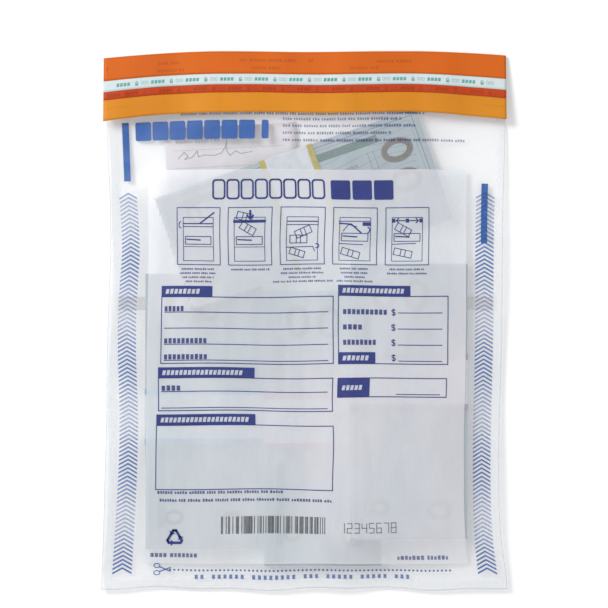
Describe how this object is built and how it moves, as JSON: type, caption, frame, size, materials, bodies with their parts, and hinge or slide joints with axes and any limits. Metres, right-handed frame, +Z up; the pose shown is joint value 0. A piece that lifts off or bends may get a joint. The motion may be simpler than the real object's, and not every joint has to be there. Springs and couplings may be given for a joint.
{
  "type": "cash deposit bag",
  "caption": "Flat clear-film deposit bag with a fold-over taped closure, a half-height rear pocket with its own lip, and strapped note bundles and a folded cheque inside.",
  "frame": {"origin": "centre of the bag's footprint, on the surface that it lies on", "axes": "+X across the bag to the right, +Y from the bottom weld to the closure's fold, +Z up out of the printed front"},
  "size_m": [0.2286, 0.3048, 0.0137],
  "materials": {
    "clear_film": "clear soft polythene film, slightly hazy",
    "dark_orange_film": "orange film tape, satin",
    "white_strip": "white indicator strip with small teal marks",
    "red_strip": "red-orange void strip with darker marks",
    "light_orange_tape": "light orange translucent tape",
    "beige_strip": "beige adhesive strip",
    "note_paper": "printed cotton paper, matt",
    "strap_paper": "kraft currency strap, white with coloured edges",
    "cheque_paper": "pale security paper, matt"
  },
  "bodies": {
    "bag": {"front_film": "clear_film", "middle_film": "clear_film", "rear_film": "clear_film", "left_weld": "clear_film", "right_weld": "clear_film", "bottom_weld": "clear_film", "left_bundle": "note_paper", "middle_bundle": "note_paper", "right_bundle": "note_paper", "tilted_bundle": "note_paper", "left_strap": "strap_paper", "middle_strap": "strap_paper", "right_strap": "strap_paper", "tilted_strap": "strap_paper", "folded_cheque": "cheque_paper"},
    "closure": {"closure_flap": "clear_film", "header_strip": "dark_orange_film", "indicator_strip": "white_strip", "void_strip": "red_strip", "sealing_tape": "light_orange_tape"},
    "rear_closure": {"rear_lip": "clear_film", "rear_strip": "beige_strip"}
  },
  "joints": [
    {"name": "closure_fold", "type": "hinge", "parent": "bag", "child": "closure", "pos_m": [0, 0.1524, 0.00125], "axis": [-1, 0, 0], "range_deg": [0, 170]},
    {"name": "rear_lip_crease", "type": "hinge", "parent": "bag", "child": "rear_closure", "pos_m": [0, 0.0036, 0], "axis": [-1, 0, 0], "range_deg": [0, 165]}
  ]
}
